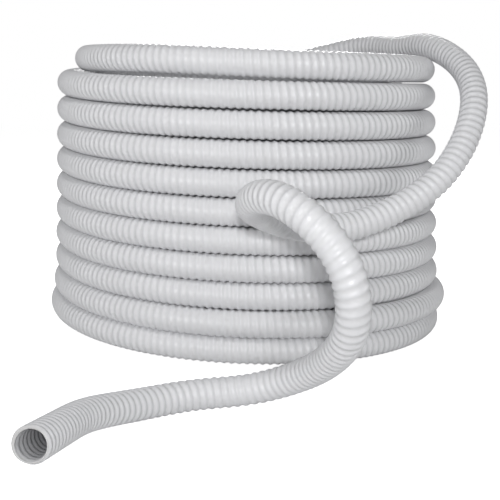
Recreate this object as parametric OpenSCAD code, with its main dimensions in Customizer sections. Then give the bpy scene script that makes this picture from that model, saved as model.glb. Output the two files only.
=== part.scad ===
// Pool vacuum hose, kept as a free-standing coil with its outer end led off.
// The hose runs from an open end inside the coil, winds down an inner column to
// the floor, steps out, climbs an outer column and leaves the top as a loose
// stretch that loops down over the floor to the other open end. Millimetres, Z up,
// floor at z = 0.

/* [Hose] */
// Bore that a cuff or a swivel pushes into
bore_d = 38; // [34:0.5:40]
// Thickness of the soft wall between the ribs
wall_t = 1.5; // [1.2:0.1:2.5]
// Height of the rigid spiral over the soft wall
rib_h = 2.75; // [2:0.25:3]
// Width of the rigid spiral where it sits on the wall
rib_w = 8.5; // [7:0.5:10.5]
// Distance from one rib to the next
rib_pitch = 12.7; // [12:0.1:14]
// Length of each open end that a cuff covers
end_len = 50; // [45:1:60]
// Ribs formed on the loose stretch
free_ribs = 54; // [30:1:56]

/* [Coil] */
// Radius of the hose's centre line in the lowest outer turn
coil_r = 355; // [345:1:375]
// Turns of the inner column above the floor
inner_turns = 10.5; // [9.5:1:10.5]
// Turns of the outer column
outer_turns = 10.75; // [9.75:1:10.75]
// Depth that the ribs of one turn sink between those of the next, at the floor
turn_nest = 1.3; // [1:0.1:1.6]
// Extra rise of each outer turn over the one below it
rise_growth = 0.43; // [0.3:0.01:0.5]
// Radius that each turn loses to the one below it
turn_taper = 2; // [1:0.25:3]
// Clear width between the two columns
column_gap = 2; // [1.5:0.5:5]
// Height by which the left side lies over an even climb
lean = 6.8; // [5.5:0.1:8]
// Part of that height which is lost with each turn upwards
lean_fade = 0.5; // [0.2:0.1:0.6]
// Outward bulge of the lowest turn
bulge = 16; // [5:0.5:20]
// Inward step of the last outer turn
outer_tuck = 67; // [66:0.5:72]
// Inward step of the last inner turn
inner_tuck = 34; // [30:1:45]
// Drop of the outer column's end, behind the coil
end_sag = 21.5; // [19:0.5:21.5]

/* [Hidden] */

wall_d = bore_d + 2 * wall_t;
hose_d = wall_d + 2 * rib_h;
hose_r = hose_d / 2;
round_faces = 96;
wall_colour = [0.82, 0.81, 0.83];
spiral_colour = [0.9, 0.9, 0.91];

// The coil's axis is set off the origin, which is under the middle of the whole part.
coil_axis = [-18, 254.5, 0];

// Coil: a turn is 24 rings of 6 sides, and the foot of each ring is cut flat.
coil_sides = 6;
coil_steps = 24;
foot_cut = hose_d / 10;
foot_z = hose_r - foot_cut;
turn_rise = hose_d - turn_nest;
column_step = hose_d + column_gap;
step_turns = 0.5;
bulge_at = 0.85;
bulge_spread = 0.45;
dent_at = -1.25;
outer_tuck_spread = 0.33;
inner_tuck_spread = 0.5;
sag_spread = 0.22;
first_turn = -inner_turns - step_turns;

// A bump of height 1 at x = 0 that dies away over the given spread.
function bump(x, spread) = exp(-pow(x / spread, 2));

// An even change from 0 to 1 with a level start and end.
function eased(k) = k * k * (3 - 2 * k);

// Radius and height of the centre line after u turns. The outer column has u over 0,
// the inner column ends at u = -step_turns, and between them the hose steps out.
function outer_radius(u) =
    coil_r - turn_taper * max(u, 0) + bulge * bump(u - bulge_at, bulge_spread)
    - outer_tuck * bump(outer_turns - u, outer_tuck_spread);

function inner_radius(u) =
    coil_r - column_step + turn_taper * (u + step_turns)
    - bulge * bump(u - dent_at, bulge_spread)
    - inner_tuck * bump(u - first_turn, inner_tuck_spread);

function turn_radius(u) =
    u >= 0 ? outer_radius(u)
    : u <= -step_turns ? inner_radius(u)
    : let (k = eased(1 + u / step_turns))
        (1 - k) * (coil_r - column_step) + k * outer_radius(u);

function turn_height(u) =
    u >= 0 ? foot_z + turn_rise * u + rise_growth * u * u / 2
             + (lean - lean_fade * u) * (1 - cos(360 * u))
             - end_sag * bump(outer_turns - u, sag_spread)
    : u <= -step_turns ? foot_z - turn_rise * (u + step_turns)
    : foot_z;

// Seen from above the hose winds clockwise, so its heading is a quarter turn behind
// the direction from the axis.
function turn_out(u) = [cos(360 * u), -sin(360 * u), 0];
function turn_heading(u) = [-sin(360 * u), -cos(360 * u), 0];
function turn_centre(u) =
    coil_axis + turn_radius(u) * turn_out(u) + [0, 0, turn_height(u)];

// The coil's rings, with one more at each end so that both ends run straight.
ring_count = (outer_turns - first_turn) * coil_steps;
turns_u = [for (i = [0 : ring_count]) first_turn + i / coil_steps];
inner_end_centre = turn_centre(first_turn) - hose_d * turn_heading(first_turn);
outer_end_centre = turn_centre(outer_turns) + hose_d * turn_heading(outer_turns);
coil_centres = concat([inner_end_centre], [for (u = turns_u) turn_centre(u)],
                      [outer_end_centre]);
coil_outs = concat([turn_out(first_turn)], [for (u = turns_u) turn_out(u)],
                   [turn_out(outer_turns)]);

// Least distance from any ring's centre to that of a ring half a turn or more away.
half_turn = coil_steps / 2;
turn_spacing = min([for (i = [0 : len(coil_centres) - half_turn - 1])
    min([for (j = [i + half_turn : len(coil_centres) - 1])
        norm(coil_centres[i] - coil_centres[j])])]);
echo(greatest_depth_that_ribs_nest = hose_d - turn_spacing);

// Loose stretch: guide points of a smooth curve, from the coil's end to the open end.
// Each has a direction from the coil's axis, a distance outside the coil's radius,
// under 0 where it is inside, and a height.
floor_z = hose_r;
start_step = 45;
end_step = 80;
guide_points = [
    [41, -20, 545], [20, -30, 530], [5, -15, 545], [-10, 25, 525], [-20, 70, 490],
    [-28.5, 100, 440], [-36.5, 105, 370], [-45, 95, 310], [-54.5, 70, 270],
    [-66.5, 65, 245], [-79, 85, 255], [-87, 140, 285], [-90, 230, 315],
    [-87.5, 320, 345], [-83.5, 385, 320], [-80, 410, 260], [-79, 395, 175],
    [-79.5, 310, 110], [-81.5, 220, 60], [-89, 175, floor_z], [-98, 190, floor_z],
    [-104.5, 255, floor_z]
];
function round_coil(p) =
    coil_axis + (coil_r + p[1]) * [cos(p[0]), sin(p[0]), 0] + [0, 0, p[2]];

// The open end springs clear of the floor.
end_heading = 262;
end_rise = 10;
end_seat = round_coil([-105.5, 525, 75]);
end_out = [cos(end_heading) * cos(end_rise), sin(end_heading) * cos(end_rise),
           sin(end_rise)];

guides = concat(
    [for (k = [-1 : 2]) outer_end_centre + k * start_step * turn_heading(outer_turns)],
    [for (p = guide_points) round_coil(p)],
    [for (k = [-2 : 1]) end_seat + k * end_step * end_out]);
spans = len(guides) - 3;

// Point on the curve, a uniform cubic B-spline, t spans along it.
function route(t) =
    let (i = min(floor(t), spans - 1), f = t - i)
    (pow(1 - f, 3) * guides[i]
     + (3 * pow(f, 3) - 6 * pow(f, 2) + 4) * guides[i + 1]
     + (3 * f + 3 * pow(f, 2) - 3 * pow(f, 3) + 1) * guides[i + 2]
     + pow(f, 3) * guides[i + 3]) / 6;

// Lists of lengths along the curve, and the place on it at a given length.
fine_steps = 12;
fine_points = [for (k = [0 : spans * fine_steps]) route(k / fine_steps)];
fine_lengths = [for (k = 0, s = 0; k < len(fine_points);
    k = k + 1,
    s = k < len(fine_points) ? s + norm(fine_points[k] - fine_points[k - 1]) : s) s];
free_len = fine_lengths[len(fine_lengths) - 1];
function at_length(s) = route(lookup(s, [for (k = [0 : len(fine_lengths) - 1])
    [fine_lengths[k], k / fine_steps]]));
echo(length_of_the_loose_stretch = free_len);

// Two rings to a rib: a low one between the ribs and a high one on the rib.
free_sides = 8;
free_rings = 2 * free_ribs;
free_centres = [for (i = [0 : free_rings]) at_length(free_len * i / free_rings)];
free_headings = [for (i = [0 : free_rings])
    i == 0 ? turn_heading(outer_turns)
    : i == free_rings ? end_out
    : unit(free_centres[i + 1] - free_centres[i - 1])];
free_outs = [for (i = 0, side = turn_out(outer_turns); i <= free_rings;
    i = i + 1,
    side = i <= free_rings ? unit(side - (side * free_headings[i]) * free_headings[i])
                           : side) side];

function unit(v) = v / norm(v);

// One ring of points about a centre, at radius r, square to the heading.
function ring(centre, out, up, r, sides) =
    [for (j = [0 : sides - 1])
        centre + r * (cos(360 * j / sides) * out + sin(360 * j / sides) * up)];

// Triangles between rings a and b of a skin, and those that close one ring.
function band(a, b, sides) = [for (j = [0 : sides - 1])
    let (n = (j + 1) % sides)
    each [[a + j, b + j, b + n], [a + j, b + n, a + n]]];
function lid(a, sides) = [for (j = [1 : sides - 2]) [a, a + j, a + j + 1]];
function turned(faces) = [for (f = faces) [f[2], f[1], f[0]]];

// The wound coil, one unbroken tube whose lowest turn is flat where it stands.
module wound_coil() {
    n = len(coil_centres);
    up = [0, 0, 1];
    points = [for (i = [0 : n - 1])
        each [for (p = ring(coil_centres[i], coil_outs[i], up, hose_r, coil_sides))
            [p.x, p.y, max(p.z, 0)]]];
    faces = concat(
        lid(0, coil_sides),
        [for (i = [0 : n - 2])
            each band(i * coil_sides, (i + 1) * coil_sides, coil_sides)],
        turned(lid((n - 1) * coil_sides, coil_sides)));
    color(wall_colour) polyhedron(points, faces, convexity = 10);
}

// The loose stretch, ribbed outside and bored right through.
module free_stretch() {
    n = free_rings + 1;
    bores = [for (i = [0 : 2 : free_rings]) i];
    inside = n * free_sides;
    last = inside + (len(bores) - 1) * free_sides;
    points = concat(
        [for (i = [0 : free_rings])
            each ring(free_centres[i], free_outs[i], cross(free_headings[i], free_outs[i]),
                      i % 2 == 0 ? wall_d / 2 : hose_r, free_sides)],
        [for (i = bores)
            each ring(free_centres[i], free_outs[i], cross(free_headings[i], free_outs[i]),
                      bore_d / 2, free_sides)]);
    faces = concat(
        [for (i = [0 : free_rings - 1])
            each band(i * free_sides, (i + 1) * free_sides, free_sides)],
        [for (i = [0 : len(bores) - 2])
            each turned(band(inside + i * free_sides, inside + (i + 1) * free_sides,
                             free_sides))],
        turned(band(0, inside, free_sides)),
        band(free_rings * free_sides, last, free_sides));
    color(wall_colour) polyhedron(points, faces, convexity = 10);
}

// The soft wall of an open end, from the floor of the end outwards along +Z.
module end_wall() {
    color(wall_colour)
    difference() {
        cylinder(h = end_len, d = wall_d, $fn = round_faces);
        translate([0, 0, -1])
            cylinder(h = end_len + 2, d = bore_d, $fn = round_faces);
    }
}

// The rigid spiral of an open end, one crown for each rib that fits on the wall.
rib_seat = 0.05;
rib_steps = 6;
end_ribs = floor((end_len - rib_w) / rib_pitch) + 1;
first_rib = (end_len - (end_ribs - 1) * rib_pitch) / 2;
module end_spiral() {
    seat_r = wall_d / 2 + rib_seat;
    crown = [for (k = [0 : rib_steps])
        [seat_r + (hose_r - seat_r) * sin(180 * k / rib_steps),
         -rib_w / 2 * cos(180 * k / rib_steps)]];
    color(spiral_colour)
    for (k = [0 : end_ribs - 1])
        translate([0, 0, first_rib + k * rib_pitch])
            rotate_extrude($fn = round_faces) polygon(crown);
}

// Places an end's piece on the loose stretch's end.
module at_free_end() {
    translate(end_seat) rotate([0, 90 - end_rise, end_heading]) children();
}

// Places an end's piece on the inner column's end, inside the coil.
module at_inner_end() {
    heading = turn_heading(first_turn);
    translate(inner_end_centre)
        rotate([0, 90, atan2(-heading.y, -heading.x)]) children();
}

module free_end_wall() {
    at_free_end() end_wall();
}

module free_end_spiral() {
    at_free_end() end_spiral();
}

module inner_end_wall() {
    at_inner_end() end_wall();
}

module inner_end_spiral() {
    at_inner_end() end_spiral();
}

wound_coil();
free_stretch();
free_end_wall();
free_end_spiral();
inner_end_wall();
inner_end_spiral();
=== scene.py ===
import math
import bpy
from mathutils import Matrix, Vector


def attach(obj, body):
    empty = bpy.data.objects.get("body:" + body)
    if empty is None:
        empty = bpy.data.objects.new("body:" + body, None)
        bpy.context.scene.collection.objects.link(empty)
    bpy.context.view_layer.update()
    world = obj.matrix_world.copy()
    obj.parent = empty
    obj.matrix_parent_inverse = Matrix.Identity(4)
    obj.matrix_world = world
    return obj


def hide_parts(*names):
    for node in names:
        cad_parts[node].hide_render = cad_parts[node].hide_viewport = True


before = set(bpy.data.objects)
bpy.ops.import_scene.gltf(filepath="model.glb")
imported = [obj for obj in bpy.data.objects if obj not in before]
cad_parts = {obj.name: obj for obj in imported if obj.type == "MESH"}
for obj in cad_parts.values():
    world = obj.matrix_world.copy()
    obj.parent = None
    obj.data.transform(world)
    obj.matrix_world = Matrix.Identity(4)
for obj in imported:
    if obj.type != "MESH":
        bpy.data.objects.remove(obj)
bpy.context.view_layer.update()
scene = bpy.context.scene
scene.view_settings.view_transform = "Standard"
print("frame loaded:", ", ".join(sorted(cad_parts)))


camera = {
    "place": (-0.0112, -1.7215, 0.5142),
    "tilt": 79.23,          # degrees up from straight down
    "lens": 72.5,
    "sensor": 36.0,
    "clip": (0.05, 50),     # nearest and farthest that it sees
}


def makeCamera():
    data = bpy.data.cameras.new("camera")
    data.lens = camera["lens"]
    data.sensor_width = camera["sensor"]
    data.clip_start, data.clip_end = camera["clip"]
    obj = bpy.data.objects.new("camera", data)
    obj.location = camera["place"]
    obj.rotation_euler = (math.radians(camera["tilt"]), 0, 0)
    scene.collection.objects.link(obj)
    scene.camera = obj


makeCamera()
print("camera made")


# where the hose runs, in metres
hose = {
    "outerDiameter": 0.0475,
    "bore": 0.038,
    "ribPitch": 0.0127,     # the ribs of one turn nest between those of the next
    "lead": 0.0465,         # straight length between the coil and what follows it
    "endLength": 0.050,     # straight length at each open end
}

coil = {
    "axis": (-0.018, 0.2545),
    "radius": 0.355,
    "innerTurns": 10.5,
    "outerTurns": 10.75,
    "stepTurns": 0.5,       # on the floor, between the two columns
    "turnRise": 0.0452,
    "riseGrowth": 0.00043,  # added to the rise with each turn upwards
    "taper": 0.002,         # lost from the radius with each turn upwards
    "columnStep": 0.0485,   # from the outer column's radius to the inner one's
    "floorHeight": 0.0186,  # centre line of the turn that the coil stands on
    "lean": 0.0068,         # the left of a turn stands higher by twice this
    "leanFade": 0.0005,     # lost with each turn upwards
    "bulge": (0.016, 0.85, 0.45),       # size, turn, spread
    "dentTurn": -1.25,      # where the inner column makes room for the bulge
    "outerTuck": (0.067, 0.33),         # size and spread, at the last turn
    "innerTuck": (0.034, 0.5),          # the same, at the first turn
    "endSag": (0.0215, 0.22),           # the same, of the height at the last turn
    "topLift": (0.004, 10.325, 0.09),   # size, turn, spread
    "samples": 240,         # for each turn
}

looseStretch = {
    "startStep": 0.045,     # between the guide points that keep the start straight
    "endStep": 0.080,       # between those that keep the end straight
    "endHeading": 262,      # in degrees, as all directions here
    "endRise": 10,          # the open end springs clear of the floor
    "endPlace": (-105.5, 0.525, 0.075),     # given as the guides are
    "guides": [             # direction from the axis, distance outside the coil, height
        (41, -0.020, 0.545), (20, -0.030, 0.530), (5, -0.015, 0.545), (-10, 0.025, 0.525),
        (-20, 0.070, 0.490), (-28.5, 0.100, 0.440), (-36.5, 0.105, 0.370),
        (-45, 0.095, 0.310), (-54.5, 0.070, 0.270), (-66.5, 0.065, 0.245),
        (-79, 0.085, 0.255), (-87, 0.140, 0.285), (-90, 0.230, 0.315),
        (-87.5, 0.320, 0.345), (-83.5, 0.385, 0.320), (-80, 0.410, 0.260),
        (-79, 0.395, 0.175), (-79.5, 0.310, 0.110), (-81.5, 0.220, 0.060),
        (-89, 0.175, 0.02325), (-98, 0.190, 0.02325), (-104.5, 0.255, 0.02325),
    ],
    "samples": 24,          # for each guide point
}

axisPoint = Vector((*coil["axis"], 0))
firstTurn = -coil["innerTurns"] - coil["stepTurns"]


def bump(x, spread):
    return math.exp(-(x / spread) ** 2)


def outerRadius(u):
    size, turn, spread = coil["bulge"]
    tuck, tuckSpread = coil["outerTuck"]
    return (coil["radius"] - coil["taper"] * max(u, 0) + size * bump(u - turn, spread)
            - tuck * bump(coil["outerTurns"] - u, tuckSpread))


def innerRadius(u):
    size, _, spread = coil["bulge"]
    tuck, tuckSpread = coil["innerTuck"]
    return (coil["radius"] - coil["columnStep"] + coil["taper"] * (u + coil["stepTurns"])
            - size * bump(u - coil["dentTurn"], spread)
            - tuck * bump(u - firstTurn, tuckSpread))


def turnRadius(u):
    if u >= 0:
        return outerRadius(u)
    if u <= -coil["stepTurns"]:
        return innerRadius(u)
    k = 1 + u / coil["stepTurns"]
    k = k * k * (3 - 2 * k)
    return (1 - k) * (coil["radius"] - coil["columnStep"]) + k * outerRadius(u)


def turnHeight(u):
    if u >= 0:
        sag, sagSpread = coil["endSag"]
        lift, liftTurn, liftSpread = coil["topLift"]
        return (coil["floorHeight"] + coil["turnRise"] * u
                + coil["riseGrowth"] * u * u / 2
                + (coil["lean"] - coil["leanFade"] * u) * (1 - math.cos(math.tau * u))
                - sag * bump(coil["outerTurns"] - u, sagSpread)
                + lift * bump(u - liftTurn, liftSpread))
    return coil["floorHeight"] - coil["turnRise"] * min(u + coil["stepTurns"], 0)


def turnHeading(u):
    return Vector((-math.sin(math.tau * u), -math.cos(math.tau * u), 0))


def turnCentre(u):
    r = turnRadius(u)
    return axisPoint + Vector((r * math.cos(math.tau * u), -r * math.sin(math.tau * u),
                               turnHeight(u)))


def besideCoil(direction, distance, height):
    angle, r = math.radians(direction), coil["radius"] + distance
    return axisPoint + Vector((r * math.cos(angle), r * math.sin(angle), height))


def splinePoint(guides, t):         # uniform cubic B-spline, t spans along it
    i = min(int(t), len(guides) - 4)
    f = t - i
    return ((1 - f) ** 3 * guides[i]
            + (3 * f ** 3 - 6 * f ** 2 + 4) * guides[i + 1]
            + (3 * f + 3 * f ** 2 - 3 * f ** 3 + 1) * guides[i + 2]
            + f ** 3 * guides[i + 3]) / 6


def straightRun(start, end, step=0.006):
    count = max(1, round((end - start).length / step))
    return [start.lerp(end, k / count) for k in range(count)]


def hoseRoute():
    # the points of the centre line, from the mouth inside the coil to the loose mouth, and
    # the place in that list of each turn or part of one, and of the start of the loose end
    lead, end = hose["lead"], hose["endLength"]
    startHeading = turnHeading(firstTurn)
    lastHeading = turnHeading(coil["outerTurns"])
    coilStart, coilEnd = turnCentre(firstTurn), turnCentre(coil["outerTurns"])
    route = straightRun(coilStart - (lead + end) * startHeading, coilStart)
    marks = {}
    count = round((coil["outerTurns"] - firstTurn) * coil["samples"])
    for i in range(count + 1):
        u = firstTurn + i / coil["samples"]
        marks[round(u, 4)] = len(route)
        route.append(turnCentre(u))
    looseStart = coilEnd + lead * lastHeading
    route += straightRun(coilEnd, looseStart)[1:]
    marks["loose"] = len(route)
    heading = math.radians(looseStretch["endHeading"])
    rise = math.radians(looseStretch["endRise"])
    endHeading = Vector((math.cos(heading) * math.cos(rise),
                         math.sin(heading) * math.cos(rise), math.sin(rise)))
    endSeat = besideCoil(*looseStretch["endPlace"])
    guides = [looseStart + k * looseStretch["startStep"] * lastHeading for k in range(-1, 3)]
    guides += [besideCoil(*guide) for guide in looseStretch["guides"]]
    guides += [endSeat + k * looseStretch["endStep"] * endHeading for k in range(-2, 2)]
    steps = (len(guides) - 3) * looseStretch["samples"]
    route += [splinePoint(guides, k / looseStretch["samples"]) for k in range(steps)]
    route += straightRun(endSeat, endSeat + end * endHeading)
    route.append(endSeat + end * endHeading)
    return route, marks


route, marks = hoseRoute()
lengths = [0.0]
for a, b in zip(route, route[1:]):
    lengths.append(lengths[-1] + (b - a).length)
looseRun = lengths[-1] - lengths[marks["loose"]]
print(f"route laid: {lengths[-1]:.2f} m of hose, {looseRun:.3f} m loose")


# the ribbed tube, one tree for every length of the hose
def feed(tree, socket, value):
    if isinstance(value, bpy.types.NodeSocket):
        tree.links.new(value, socket)
    else:
        socket.default_value = value


def calc(tree, operation, *values):
    node = tree.nodes.new("ShaderNodeMath")
    node.operation = operation
    for socket, value in zip(node.inputs, values):
        feed(tree, socket, value)
    return node.outputs[0]


def vectorCalc(tree, operation, *values, out="Vector"):
    node = tree.nodes.new("ShaderNodeVectorMath")
    node.operation = operation
    for socket, value in zip([s for s in node.inputs if s.enabled], values):
        feed(tree, socket, value)
    return node.outputs[out]


def blendOf(tree, a, b, share):     # a where share is 0, b where it is 1
    return calc(tree, "MULTIPLY_ADD", calc(tree, "SUBTRACT", b, a), share, a)


def within(tree, value, low, high):
    return calc(tree, "MINIMUM", calc(tree, "MAXIMUM", value, low), high)


def along(tree, curve, place):      # position, tangent and normal of the curve there
    node = tree.nodes.new("GeometryNodeSampleCurve")
    node.mode = "LENGTH"
    node.use_all_curves = False
    tree.links.new(curve, node.inputs["Curves"])
    feed(tree, node.inputs["Length"], place)
    return node.outputs["Position"], node.outputs["Tangent"], node.outputs["Normal"]


def spoke(tree, tangent, normal, turn):     # from the centre line outwards, at that turn
    side = vectorCalc(tree, "CROSS_PRODUCT", normal, tangent)
    angle = calc(tree, "MULTIPLY", turn, math.tau)
    return vectorCalc(
        tree, "ADD",
        vectorCalc(tree, "SCALE", normal, calc(tree, "COSINE", angle)),
        vectorCalc(tree, "SCALE", side, calc(tree, "SINE", angle)))


def parted(tree, vector):
    node = tree.nodes.new("ShaderNodeSeparateXYZ")
    tree.links.new(vector, node.inputs[0])
    return node.outputs


def joined(tree, x, y, z=0.0):
    node = tree.nodes.new("ShaderNodeCombineXYZ")
    for socket, value in zip(node.inputs, (x, y, z)):
        feed(tree, socket, value)
    return node.outputs[0]


def shaped(tree, kind, mesh, **values):     # the mesh after one node that changes it
    node = tree.nodes.new(kind)
    tree.links.new(mesh, node.inputs["Geometry"])
    for name, value in values.items():
        feed(tree, node.inputs[name], value)
    return node.outputs["Geometry"]


def store(tree, mesh, name, kind, domain, value):
    # an attribute of the mesh, for the finish to read
    node = tree.nodes.new("GeometryNodeStoreNamedAttribute")
    node.data_type = kind
    node.domain = domain
    node.inputs["Name"].default_value = name
    tree.links.new(mesh, node.inputs["Geometry"])
    tree.links.new(value, next(s for s in node.inputs if s.name == "Value" and s.enabled))
    return node.outputs["Geometry"]


tubeMake = {
    "leastSharpness": 0.7,  # share of it that ribs keep on the inside of a bend
    "outerCut": 0.6,        # shares of the rounding that a cut edge loses outside
    "boreCut": 0.3,         # and in the bore
    "mergeDistance": 0.00002,
}


def ribbedTubeTree():
    tree = bpy.data.node_groups.new("ribbedTube", "GeometryNodeTree")
    face = tree.interface
    face.new_socket("Geometry", in_out="INPUT", socket_type="NodeSocketGeometry")
    for name, kind in (
            ("Length", "Float"), ("Lead In", "Float"), ("Rib Pitch", "Float"),
            ("Rib Height", "Float"), ("Rib Sharpness", "Float"), ("Rib Flatness", "Float"),
            ("Wall Radius", "Float"), ("Bore Radius", "Float"), ("Bore Ripple", "Float"),
            ("Bend Sample", "Float"), ("Rounding", "Float"), ("Open Start", "Float"),
            ("Open End", "Float"),
            ("Sides", "Int"), ("Rows per Rib", "Int"), ("Bore Rows per Rib", "Int")):
        face.new_socket(name, in_out="INPUT", socket_type="NodeSocket" + kind)
    face.new_socket("Finish", in_out="INPUT", socket_type="NodeSocketMaterial")
    face.new_socket("Geometry", in_out="OUTPUT", socket_type="NodeSocketGeometry")
    given = tree.nodes.new("NodeGroupInput").outputs
    curve, length, pitch = given["Geometry"], given["Length"], given["Rib Pitch"]
    rows, boreRows, sides = given["Rows per Rib"], given["Bore Rows per Rib"], given["Sides"]

    # a flat sheet: its rows run out along the outside and back along the bore
    ribs = calc(tree, "ADD", calc(tree, "CEIL", calc(tree, "DIVIDE", length, pitch)), 1)
    outerRows = calc(tree, "MULTIPLY_ADD", ribs, rows, 1)
    allRows = calc(tree, "ADD", outerRows, calc(tree, "MULTIPLY_ADD", ribs, boreRows, 1))
    grid = tree.nodes.new("GeometryNodeMeshGrid")
    feed(tree, grid.inputs["Size X"], allRows)
    feed(tree, grid.inputs["Size Y"], 1.0)
    feed(tree, grid.inputs["Vertices X"], calc(tree, "ADD", allRows, 1))
    feed(tree, grid.inputs["Vertices Y"], calc(tree, "ADD", sides, 1))
    place = parted(tree, tree.nodes.new("GeometryNodeInputPosition").outputs[0])
    row = calc(tree, "ROUND", calc(tree, "MULTIPLY_ADD", allRows, 0.5, place["X"]))
    row = calc(tree, "MODULO", row, allRows)        # the last row closes on the first
    turn = calc(tree, "ADD", place["Y"], 0.5)
    wound = calc(tree, "SUBTRACT", 1.0, turn)       # the ribs wind the other way round
    inBore = calc(tree, "GREATER_THAN", row, calc(tree, "SUBTRACT", outerRows, 0.5))

    # the middle of this rib, and how far a bend opens the ribs there
    rib = calc(tree, "FLOOR", calc(tree, "DIVIDE", calc(tree, "ADD", row, 0.25), rows))
    ribPlace = within(tree, calc(tree, "MULTIPLY", pitch, calc(
        tree, "SUBTRACT", calc(tree, "ADD", rib, wound), 0.5)), 0.0, length)
    ribPlace = calc(tree, "ADD", ribPlace, given["Lead In"])
    reach = given["Bend Sample"]
    _, before, _ = along(tree, curve, calc(tree, "SUBTRACT", ribPlace, reach))
    _, after, _ = along(tree, curve, calc(tree, "ADD", ribPlace, reach))
    _, tangent, normal = along(tree, curve, ribPlace)
    bend = vectorCalc(tree, "SCALE", vectorCalc(tree, "SUBTRACT", after, before),
                      calc(tree, "DIVIDE", 0.5, reach))
    opening = calc(tree, "SUBTRACT", 1.0, calc(
        tree, "MULTIPLY", given["Wall Radius"], vectorCalc(
            tree, "DOT_PRODUCT", bend, spoke(tree, tangent, normal, turn), out="Value")))
    sharpness = calc(tree, "MULTIPLY", given["Rib Sharpness"], calc(
        tree, "MAXIMUM", calc(tree, "MULTIPLY", opening, opening),
        tubeMake["leastSharpness"]))

    # place along the hose: the ribs wind round it, so a full turn moves one pitch on
    outside = calc(tree, "MULTIPLY", pitch, calc(tree, "SUBTRACT", calc(
        tree, "ADD", calc(tree, "DIVIDE", row, rows), wound), 1))
    back = calc(tree, "DIVIDE", calc(tree, "SUBTRACT", row, outerRows), boreRows)
    inside = calc(tree, "MULTIPLY_ADD", pitch, calc(tree, "SUBTRACT", wound, back), length)
    distance = within(tree, blendOf(tree, outside, inside, inBore), 0.0, length)

    # radius there: a rib on the wall outside, round or with a level crown, a low ripple in
    # the bore, and a rounded edge where the hose is cut
    phase = calc(tree, "FRACT", calc(tree, "ADD", 1.0, calc(
        tree, "SUBTRACT", calc(tree, "DIVIDE", distance, pitch), wound)))
    wave = calc(tree, "COSINE", calc(tree, "MULTIPLY", phase, math.tau))
    crown = calc(tree, "POWER", calc(tree, "MULTIPLY_ADD", wave, -0.5, 0.5), sharpness)
    flat = calc(tree, "MULTIPLY", calc(tree, "MULTIPLY", crown, crown),
                calc(tree, "MULTIPLY_ADD", crown, -2.0, 3.0))
    crown = blendOf(tree, crown, flat, given["Rib Flatness"])
    crown = calc(tree, "MULTIPLY", crown, calc(tree, "SUBTRACT", 1.0, inBore))
    rounding = given["Rounding"]
    fromStart = blendOf(tree, 1.0, within(tree, calc(
        tree, "DIVIDE", distance, rounding), 0.0, 1.0), given["Open Start"])
    fromEnd = blendOf(tree, 1.0, within(tree, calc(
        tree, "DIVIDE", calc(tree, "SUBTRACT", length, distance), rounding), 0.0, 1.0),
        given["Open End"])
    edge = calc(tree, "SUBTRACT", 1.0, calc(tree, "MINIMUM", fromStart, fromEnd))
    cut = calc(tree, "MULTIPLY", calc(tree, "MULTIPLY", edge, edge), rounding)
    outerRadius = calc(tree, "SUBTRACT", calc(
        tree, "MULTIPLY_ADD", crown, given["Rib Height"], given["Wall Radius"]),
        calc(tree, "MULTIPLY", cut, tubeMake["outerCut"]))
    boreRadius = calc(tree, "ADD", calc(
        tree, "MULTIPLY_ADD", given["Bore Ripple"], wave, given["Bore Radius"]),
        calc(tree, "MULTIPLY", cut, tubeMake["boreCut"]))
    radius = blendOf(tree, outerRadius, boreRadius, inBore)
    centre, tangent, normal = along(tree, curve, calc(tree, "ADD", distance, given["Lead In"]))
    point = vectorCalc(tree, "ADD", centre, vectorCalc(
        tree, "SCALE", spoke(tree, tangent, normal, turn), radius))

    # no lower than the floor, and the bore stays a wall's thickness above it
    wall = calc(tree, "SUBTRACT", given["Wall Radius"], given["Bore Radius"])
    point = parted(tree, point)
    onFloor = joined(tree, point["X"], point["Y"], calc(
        tree, "MAXIMUM", point["Z"], calc(tree, "MULTIPLY", wall, inBore)))

    uv = joined(tree, turn, calc(tree, "DIVIDE", distance, pitch))
    mesh = store(tree, grid.outputs["Mesh"], "UVMap", "FLOAT2", "CORNER", uv)
    mesh = store(tree, mesh, "crown", "FLOAT", "POINT", crown)
    # the cut edges, where the finish paints shade
    mesh = store(tree, mesh, "cutEdgeShade", "FLOAT", "POINT", edge)
    # how deep each point lies in the bore, which the finish uses for painted shade
    fromMouth = calc(
        tree, "MINIMUM", blendOf(tree, 1.0, distance, given["Open Start"]),
        blendOf(tree, 1.0, calc(tree, "SUBTRACT", length, distance), given["Open End"]))
    mesh = store(tree, mesh, "boreDepth", "FLOAT", "POINT",
                 calc(tree, "MULTIPLY", fromMouth, inBore))
    mesh = shaped(tree, "GeometryNodeSetPosition", mesh, Position=onFloor)
    mesh = shaped(tree, "GeometryNodeMergeByDistance", mesh,
                  Distance=tubeMake["mergeDistance"])
    mesh = shaped(tree, "GeometryNodeSetShadeSmooth", mesh)
    mesh = shaped(tree, "GeometryNodeRealizeInstances", mesh)
    mesh = shaped(tree, "GeometryNodeSetMaterial", mesh, Material=given["Finish"])
    tree.links.new(mesh, tree.nodes.new("NodeGroupOutput").inputs[0])
    return tree


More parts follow.
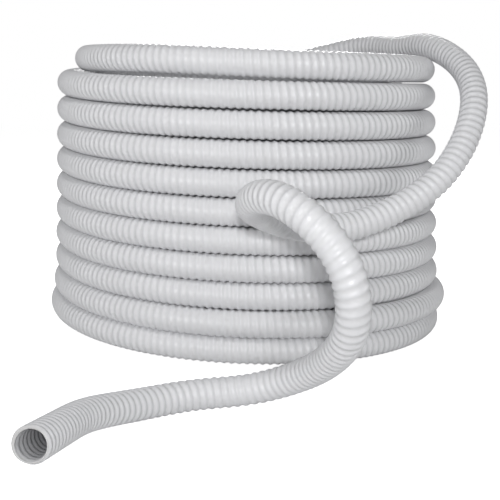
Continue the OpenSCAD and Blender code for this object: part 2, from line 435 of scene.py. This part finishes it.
plastic = {
    "crown": (0.697, 0.700, 0.718),
    "groove": (0.695, 0.698, 0.712),    # the soft wall between the ribs
    # painted shade: the bore's colour stands in for the shade inside the hose
    "bore": (0.15, 0.15, 0.165),
    "boreShadeDepths": (0.004, 0.13),         # painted shade darkens the bore between these depths from the mouth
    "cutEdgeShade": (0.50, 0.50, 0.50),      # painted shade on the cut face of the wall at each mouth
    # painted shade: a darker, warmer grey in the grooves, in patches
    "grooveShade": (0.52, 0.50, 0.46),
    "grooveShadeShare": 0.08,                  # in the grooves
    "grooveShadeRange": (0.45, 0.72),          # of the scuff noise, from none of the painted shade to the full share
    "mottleShade": 0.55,                # of the crown's colour, in the darkest patches
    "mottleShare": 0.05,
    "mottleRange": (0.3, 0.7),
    "crownRoughness": 0.31,
    "grooveRoughness": 0.42,
    "scuffRoughness": 0.16,             # added where the plastic is scuffed
    "scuffRange": (0.5, 0.75),
    "drawLines": (9.0, 0.35),           # lines across a rib, and how they break along it
    "drawDepth": 0.00005,
    "grainDepth": 0.00003,
    "drawNoise": (1.0, 3.0, 0.5),       # scale, detail and roughness of each pattern
    "mottleNoise": (7.0, 4.0, 0.5),
    "grainNoise": (160.0, 3.0, 0.6),
    "scuffAndShadeNoise": (38.0, 5.0, 0.65),
}


def noise(tree, vector, scale, detail, roughness):
    node = tree.nodes.new("ShaderNodeTexNoise")
    node.inputs["Scale"].default_value = scale
    node.inputs["Detail"].default_value = detail
    node.inputs["Roughness"].default_value = roughness
    tree.links.new(vector, node.inputs["Vector"])
    return node.outputs["Fac"]


def stored(tree, name):     # an attribute that the tube's tree has stored
    node = tree.nodes.new("ShaderNodeAttribute")
    node.attribute_name = name
    return node.outputs["Fac"]


def ramp(tree, value, low, high, most=1.0):     # from 0 at low up to most at high
    node = tree.nodes.new("ShaderNodeMapRange")
    for name, number in (("From Min", low), ("From Max", high), ("To Max", most)):
        node.inputs[name].default_value = number
    feed(tree, node.inputs["Value"], value)
    return node.outputs["Result"]


def relief(tree, height, depth):
    node = tree.nodes.new("ShaderNodeBump")
    node.inputs["Distance"].default_value = depth
    tree.links.new(height, node.inputs["Height"])
    return node


def tinted(tree, share, a, b):      # a colour or a socket on each side
    node = tree.nodes.new("ShaderNodeMix")
    node.data_type = "RGBA"
    feed(tree, node.inputs["Factor"], share)
    for name, colour in (("A", a), ("B", b)):
        socket = next(s for s in node.inputs if s.name == name and s.type == "RGBA")
        isSocket = isinstance(colour, bpy.types.NodeSocket)
        feed(tree, socket, colour if isSocket else (*colour, 1))
    return next(s for s in node.outputs if s.type == "RGBA")


def hosePlastic():
    material = bpy.data.materials.new("hosePlastic")
    material.use_nodes = True
    tree = material.node_tree
    shader = tree.nodes["Principled BSDF"]
    crown = stored(tree, "crown")
    spot = tree.nodes.new("ShaderNodeTexCoord").outputs["Object"]
    uv = tree.nodes.new("ShaderNodeUVMap")
    uv.uv_map = "UVMap"
    ring = parted(tree, uv.outputs[0])

    # across a rib, and on along its winding
    wound = calc(tree, "ADD", ring["X"], ring["Y"])
    across = calc(tree, "FRACT", wound)
    onward = calc(tree, "SUBTRACT", ring["X"], calc(tree, "FLOOR", wound))
    lines, breaks = plastic["drawLines"]
    drawn = joined(tree, calc(tree, "MULTIPLY", across, lines),
                   calc(tree, "MULTIPLY", onward, breaks))
    drawLines = noise(tree, drawn, *plastic["drawNoise"])
    mottle = noise(tree, spot, *plastic["mottleNoise"])
    grain = noise(tree, spot, *plastic["grainNoise"])
    scuffAndShadePatches = noise(tree, spot, *plastic["scuffAndShadeNoise"])

    ribColour = tinted(tree, crown, plastic["groove"], plastic["crown"])
    worn = ramp(tree, mottle, *plastic["mottleRange"], plastic["mottleShare"])
    darker = tuple(c * plastic["mottleShade"] for c in plastic["crown"])
    ribColour = tinted(tree, worn, ribColour, darker)
    # painted shade in the grooves, in patches where the scuff noise is high
    grooveShaded = calc(tree, "MULTIPLY", calc(tree, "SUBTRACT", 1.0, crown),
                 ramp(tree, scuffAndShadePatches, *plastic["grooveShadeRange"], plastic["grooveShadeShare"]))
    ribColour = tinted(tree, grooveShaded, ribColour, plastic["grooveShade"])
    # painted shade: the bore darker the deeper it lies from the mouth
    boreShaded = ramp(tree, stored(tree, "boreDepth"), *plastic["boreShadeDepths"])
    ribColour = tinted(tree, boreShaded, ribColour, plastic["bore"])
    # painted shade on the cut faces at the mouths
    ribColour = tinted(tree, stored(tree, "cutEdgeShade"), ribColour, plastic["cutEdgeShade"])
    tree.links.new(ribColour, shader.inputs["Base Color"])

    gloss = blendOf(tree, plastic["grooveRoughness"], plastic["crownRoughness"], crown)
    scuffed = ramp(tree, scuffAndShadePatches, *plastic["scuffRange"], plastic["scuffRoughness"])
    tree.links.new(calc(tree, "ADD", gloss, scuffed), shader.inputs["Roughness"])

    lined = relief(tree, drawLines, plastic["drawDepth"])
    grained = relief(tree, grain, plastic["grainDepth"])
    tree.links.new(lined.outputs[0], grained.inputs["Normal"])
    tree.links.new(grained.outputs[0], shader.inputs["Normal"])
    return material


hoseFinish = hosePlastic()
tubeTree = ribbedTubeTree()


# name, first mark, last mark, sides, rows a rib, bore rows a rib, lay, nodes replaced
pieces = [
    ("innerColumnTop", None, -5.25, 18, 5, 1, "coiled",
     ("inner_end_wall", "inner_end_spiral")),
    ("innerColumnFoot", -5.25, -0.25, 18, 5, 1, "coiled", ()),
    ("outerColumnFoot", -0.25, 2.75, 23, 7, 1, "coiled", ()),
    ("outerColumnLow", 2.75, 5.75, 24, 7, 1, "coiled", ()),
    ("outerColumnHigh", 5.75, 8.75, 24, 7, 1, "coiled", ()),
    ("outerColumnTop", 8.75, "loose", 24, 7, 1, "coiled", ()),
    ("looseLength", "loose", None, 32, 8, 5, "loose",
     ("free_stretch", "free_end_wall", "free_end_spiral")),
]
ribs = {
    "height": 0.0018,
    "sharpness": 1.0,       # over 1 narrows the crowns
    "flatness": 1.0,        # 0 is a round rib, 1 has level crowns and grooves
    "wallDiameter": 0.0439,     # over the soft wall, between the ribs
    "boreRipple": 0.0006,   # each way
    "rippleRows": 2,        # a bore with more rows a rib than this has the ripple
    "rounding": 0.002,      # of the cut edges
    "bendSample": 0.012,    # the bend at a rib is read this far to either side
    "leadIn": 0.0254,       # the centre line runs on by this past both ends
}


def pointAt(distance):
    low, high = 0, len(lengths) - 1
    while high - low > 1:
        middle = (low + high) // 2
        if lengths[middle] <= distance:
            low = middle
        else:
            high = middle
    share = (distance - lengths[low]) / (lengths[high] - lengths[low])
    return route[low] + (route[high] - route[low]) * share


def makeLength(name, first, last, sides, rows, boreRows, lay, replaced):
    pitch = hose["ribPitch"]
    start = 0.0 if first is None else round(lengths[marks[first]] / pitch) * pitch
    end = lengths[-1] if last is None else round(lengths[marks[last]] / pitch) * pitch
    lead, step = ribs["leadIn"], pitch / 2
    count = math.ceil((end - start + 2 * lead) / step)
    line = [start - lead + (end - start + 2 * lead) * k / count for k in range(count + 1)]
    curve = bpy.data.curves.new(name + "Line", "CURVE")
    curve.dimensions = "3D"
    curve.twist_mode = "Z_UP" if lay == "coiled" else "MINIMUM"
    spline = curve.splines.new("POLY")
    spline.points.add(count)
    for point, d in zip(spline.points, line):
        point.co = (*pointAt(d), 1)
    guide = bpy.data.objects.new(name + "Line", curve)
    scene.collection.objects.link(guide)
    tube = guide.modifiers.new("tube", "NODES")
    tube.node_group = tubeTree
    values = {
        "Length": end - start, "Lead In": lead, "Rib Pitch": pitch,
        "Rib Height": ribs["height"], "Rib Sharpness": ribs["sharpness"],
        "Rib Flatness": ribs["flatness"],
        "Wall Radius": ribs["wallDiameter"] / 2, "Bore Radius": hose["bore"] / 2,
        "Rounding": ribs["rounding"], "Open Start": float(first is None),
        "Open End": float(last is None),
        "Bore Ripple": ribs["boreRipple"] if boreRows > ribs["rippleRows"] else 0.0,
        "Bend Sample": ribs["bendSample"], "Sides": sides, "Rows per Rib": rows,
        "Bore Rows per Rib": boreRows, "Finish": hoseFinish,
    }
    for socket in tubeTree.interface.items_tree:
        if socket.in_out == "INPUT" and socket.name in values:
            tube[socket.identifier] = values[socket.name]
    guide.update_tag()
    shape = guide.evaluated_get(bpy.context.evaluated_depsgraph_get())
    mesh = bpy.data.meshes.new_from_object(shape)
    guide.modifiers.remove(tube)
    bpy.data.objects.remove(guide)
    bpy.data.curves.remove(curve)
    mesh.name = name
    piece = bpy.data.objects.new(name, mesh)
    scene.collection.objects.link(piece)
    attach(piece, "root")
    if lay == "coiled":
        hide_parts("wound_coil", *replaced)
    else:
        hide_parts(*replaced)
    triangles = sum(len(p.vertices) - 2 for p in mesh.polygons)
    print(f"{name}: {end - start:.3f} m, {triangles} triangles")


for spec in pieces:
    makeLength(*spec)


studio = {
    "floorWhite": 0.80,
    "floorGlow": 0.86,      # added to the floor as the camera sees it
    "floorReach": 6.0,
    "ambient": 0.16,
    "lamps": [      # name, place, size, power
        ("keyLamp", (-0.018, -2.7455, 0.907), 0.18, 37),
        ("leftLamp", (-2.2, -1.2, 0.9), 0.9, 9),
        ("topLamp", (-0.3, -1.2, 2.4), 0.5, 12),
        ("rightLamp", (2.4, -0.6, 1.1), 0.9, 7),
        ("backLamp", (0.3, 3.2, 1.5), 1.2, 60),
    ],
    "lampTarget": (-0.018, 0.0, 0.25),
}


def shownToCamera(tree, lit, seen, surface):    # lit for every other ray
    path = tree.nodes.new("ShaderNodeLightPath")
    mix = tree.nodes.new("ShaderNodeMixShader")
    tree.links.new(path.outputs["Is Camera Ray"], mix.inputs[0])
    tree.links.new(lit.outputs[0], mix.inputs[1])
    tree.links.new(seen.outputs[0], mix.inputs[2])
    tree.links.new(mix.outputs[0], surface)


def makeFloor():
    mesh = bpy.data.meshes.new("floor")
    s = studio["floorReach"]
    mesh.from_pydata([(-s, -s, 0), (s, -s, 0), (s, s, 0), (-s, s, 0)], [], [(0, 1, 2, 3)])
    floor = bpy.data.objects.new("floor", mesh)
    scene.collection.objects.link(floor)
    material = bpy.data.materials.new("floorWhite")
    material.use_nodes = True
    tree = material.node_tree
    tree.nodes.remove(tree.nodes["Principled BSDF"])
    plain = tree.nodes.new("ShaderNodeBsdfDiffuse")
    plain.inputs["Color"].default_value = (*[studio["floorWhite"]] * 3, 1)
    glow = tree.nodes.new("ShaderNodeEmission")
    glow.inputs["Strength"].default_value = studio["floorGlow"]
    shown = tree.nodes.new("ShaderNodeAddShader")
    tree.links.new(plain.outputs[0], shown.inputs[0])
    tree.links.new(glow.outputs[0], shown.inputs[1])
    shownToCamera(tree, plain, shown, tree.nodes["Material Output"].inputs["Surface"])
    mesh.materials.append(material)


def makeWorld():
    world = bpy.data.worlds.new("studio")
    scene.world = world
    world.use_nodes = True
    tree = world.node_tree
    lit = tree.nodes["Background"]
    lit.inputs["Color"].default_value = (1, 1, 1, 1)
    lit.inputs["Strength"].default_value = studio["ambient"]
    seen = tree.nodes.new("ShaderNodeBackground")
    seen.inputs["Color"].default_value = (1, 1, 1, 1)
    shownToCamera(tree, lit, seen, tree.nodes["World Output"].inputs["Surface"])


def makeLamp(name, place, size, power):
    data = bpy.data.lights.new(name, "AREA")
    data.size = size
    data.energy = power
    lamp = bpy.data.objects.new(name, data)
    lamp.location = place
    facing = Vector(studio["lampTarget"]) - Vector(place)
    lamp.rotation_euler = facing.to_track_quat("-Z", "Y").to_euler()
    scene.collection.objects.link(lamp)


makeFloor()
makeWorld()
for lamp in studio["lamps"]:
    makeLamp(*lamp)
print("studio made")
